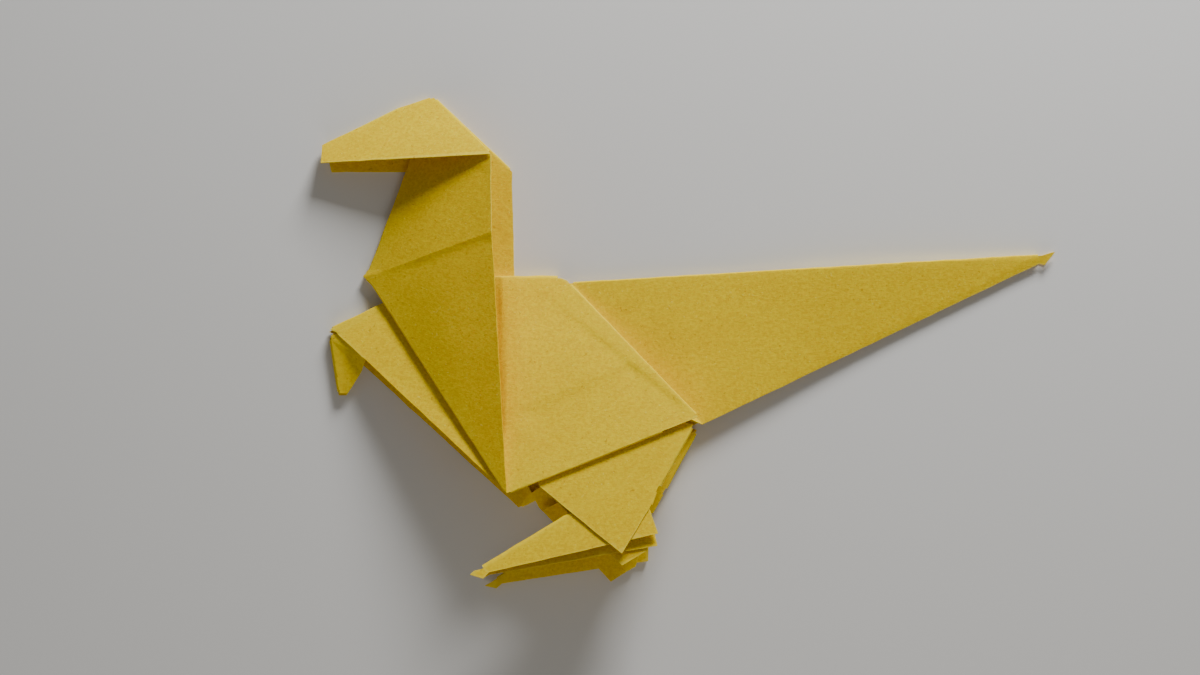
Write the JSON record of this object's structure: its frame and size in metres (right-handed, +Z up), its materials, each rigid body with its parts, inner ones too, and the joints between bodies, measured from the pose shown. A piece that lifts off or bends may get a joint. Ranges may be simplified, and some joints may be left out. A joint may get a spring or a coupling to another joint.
{
  "type": "origami dinosaur",
  "caption": "Long-necked dinosaur folded from one square of yellow paper, lying on its side with its two halves sprung apart.",
  "frame": {"origin": "centre of the bounding box in X and Y, on the table under the part", "axes": "+X from the nose to the tail's tip, +Y from the feet to the back, +Z up from the table that the part lies on"},
  "size_m": [0.141, 0.0947, 0.0177],
  "materials": {
    "paper": "matte yellow paper with a fine fibre"
  },
  "bodies": {
    "root": {"folded_sheet": "paper"}
  },
  "joints": []
}
